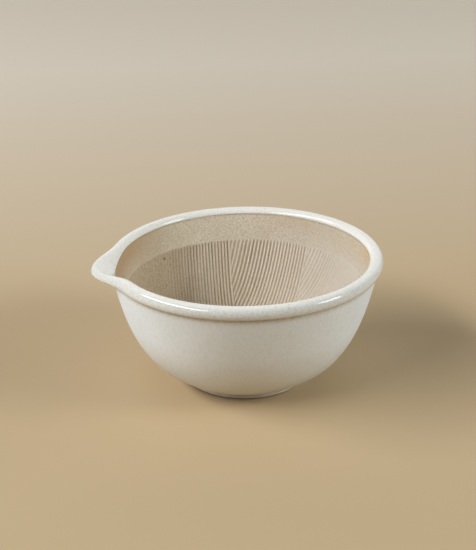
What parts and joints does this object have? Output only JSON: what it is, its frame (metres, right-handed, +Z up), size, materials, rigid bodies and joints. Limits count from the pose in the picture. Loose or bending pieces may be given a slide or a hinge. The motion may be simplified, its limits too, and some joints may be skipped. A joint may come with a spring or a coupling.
{
  "type": "grinding bowl",
  "caption": "Deep stoneware grinding bowl with combed ridges inside, a rolled glazed rim, a pulled pouring lip and a non-slip ring under the foot.",
  "frame": {"origin": "on the table, under the middle of the outline of bowl and pouring lip together; the bowl's own axis stands 5.1 mm from it along +X", "axes": "+Z up out of the bowl, -X along the pouring lip"},
  "size_m": [0.1922, 0.182, 0.0891],
  "materials": {
    "stoneware": "unglazed, sandy, matt",
    "glaze": "glossy off-white glaze with faint grey mottle",
    "silicone": "smooth satin"
  },
  "bodies": {
    "root": {"stoneware_bowl": "stoneware", "glaze_coat": "glaze", "silicone_foot_ring": "silicone"}
  },
  "joints": []
}
